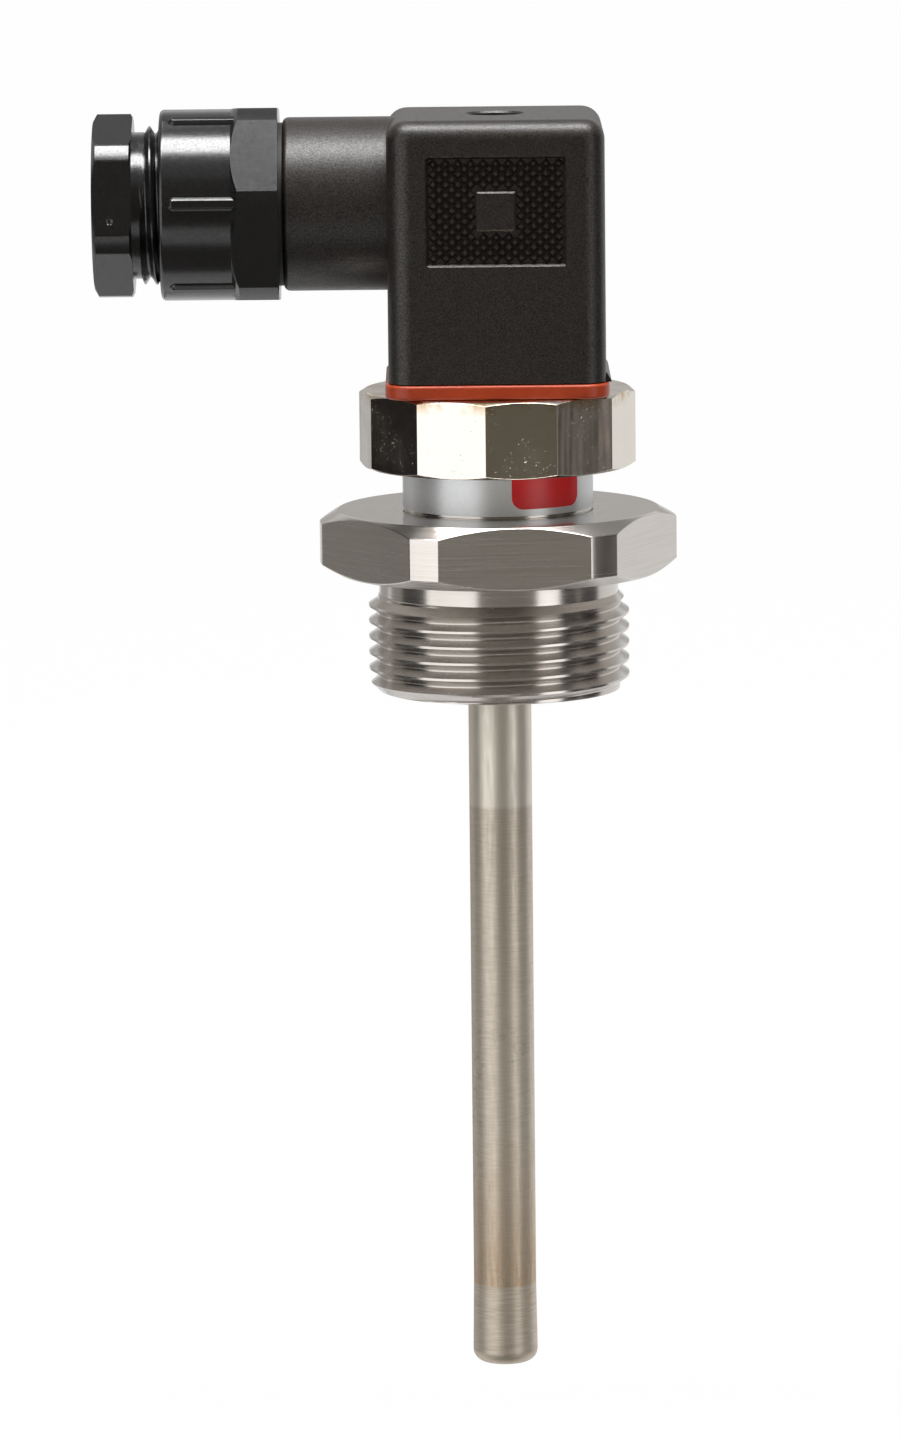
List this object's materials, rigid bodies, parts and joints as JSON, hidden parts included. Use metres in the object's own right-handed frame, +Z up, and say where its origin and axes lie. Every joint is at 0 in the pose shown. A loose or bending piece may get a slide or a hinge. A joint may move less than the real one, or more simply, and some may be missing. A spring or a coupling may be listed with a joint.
{
  "type": "plug-in resistance thermometer",
  "caption": "Screwed stainless resistance thermometer with a closed probe tube, hexagon process thread, union nut and a square cable plug with a side gland.",
  "frame": {"origin": "on the probe's axis, in the plane of the sealing face under the hexagon", "axes": "+Z up the probe towards the plug, -X along the cable outlet, -Y towards the front grip panel"},
  "size_m": [0.073, 0.0426, 0.1616],
  "materials": {
    "stainless_steel": "turned, satin",
    "stainless_tube": "drawn and ground",
    "stainless_tip": "turned, welded",
    "ceramic": "fired ceramic",
    "wire_sleeve": "fluoropolymer sleeve",
    "label_foil": "satin foil with a red field",
    "nickel_plate": "nickel plated brass",
    "base_plastic": "glass-filled nylon",
    "black_rubber": "moulded rubber",
    "brass": "turned",
    "tinned_brass": "tin plated",
    "silicone": "orange silicone",
    "housing_plastic": "glass-filled nylon, fine texture",
    "gland_plastic": "moulded nylon, slight sheen",
    "zinc_plate": "zinc plated steel"
  },
  "bodies": {
    "probe": {"process_fitting": "stainless_steel", "protection_tube": "stainless_tube", "tube_tip": "stainless_tip", "sensing_element": "ceramic", "ceramic_insulator": "ceramic", "lead_wire_1": "wire_sleeve", "lead_wire_2": "wire_sleeve", "lead_wire_3": "wire_sleeve", "label_band": "label_foil", "union_nut": "nickel_plate", "connector_base": "base_plastic", "base_o_ring": "black_rubber", "base_bush": "brass", "blade_1": "tinned_brass", "blade_2": "tinned_brass", "blade_3": "tinned_brass", "earth_blade": "tinned_brass", "gasket": "silicone"},
    "plug": {"plug_housing": "housing_plastic", "contact_carrier": "base_plastic", "contact_1": "tinned_brass", "contact_2": "tinned_brass", "contact_3": "tinned_brass", "earth_contact": "tinned_brass", "terminal_screws": "zinc_plate", "screw_seal": "black_rubber", "gland_body": "gland_plastic", "gland_o_ring": "black_rubber", "cable_seal": "black_rubber"},
    "central_screw": {"fixing_screw": "zinc_plate"},
    "gland_feed": {"thrust_washer": "zinc_plate"},
    "gland_screw": {"compression_screw": "gland_plastic"}
  },
  "joints": [
    {"name": "plug_pull", "type": "slide", "parent": "probe", "child": "plug", "axis": [0, 0, 1], "range_m": [0, 0.03]},
    {"name": "fixing_screw_turn", "type": "hinge", "parent": "plug", "child": "central_screw", "pos_m": [0, 0, 0.05], "axis": [0, 0, 1], "continuous": true},
    {"name": "gland_feed_slide", "type": "slide", "parent": "plug", "child": "gland_feed", "axis": [1, 0, 0], "range_m": [-0.00451, 0.00226]},
    {"name": "gland_screw_turn", "type": "hinge", "parent": "gland_feed", "child": "gland_screw", "pos_m": [-0.045, 0, 0.0467], "axis": [1, 0, 0], "range_deg": [-1080, 540]}
  ],
  "couplings": [
    {"joint": "gland_feed_slide", "follows": "gland_screw_turn", "m_per_rad": 0.00023873}
  ]
}
